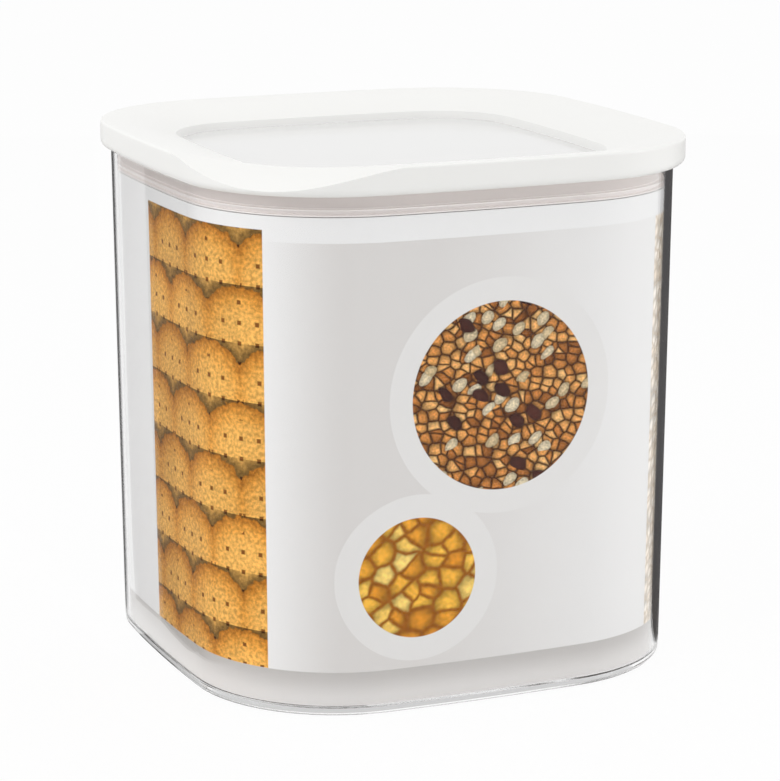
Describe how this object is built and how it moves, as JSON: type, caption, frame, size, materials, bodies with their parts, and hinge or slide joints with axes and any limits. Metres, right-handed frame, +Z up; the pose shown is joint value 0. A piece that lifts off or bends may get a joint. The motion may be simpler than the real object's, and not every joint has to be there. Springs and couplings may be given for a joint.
{
  "type": "storage box",
  "caption": "Square clear dry-food storage box with rounded corners, a printed card sleeve inside and a white lift-off lid with a dished, windowed top and a scooped corner.",
  "frame": {"origin": "middle of the base, on the plane the box stands on", "axes": "+Z up; the lid's scooped corner points along -X -Y, and the picture sees the -Y and -X sides"},
  "size_m": [0.16, 0.16, 0.1613],
  "materials": {
    "clear_tub": "clear, polished",
    "printed_card": "printed coated card, light grey with tan and brown panels",
    "white_lid": "satin white",
    "clear_pane": "clear, polished",
    "white_plug": "fine matt white",
    "soft_seal": "translucent pale silicone"
  },
  "bodies": {
    "container": {"container": "clear_tub", "card_sleeve": "printed_card"},
    "lid": {"lid_cover": "white_lid", "lid_window": "clear_pane", "lid_plug_ring": "white_plug", "lid_seal": "soft_seal"}
  },
  "joints": [
    {"name": "lid_lift", "type": "slide", "parent": "container", "child": "lid", "axis": [0, 0, 1], "range_m": [0, 0.08]}
  ]
}
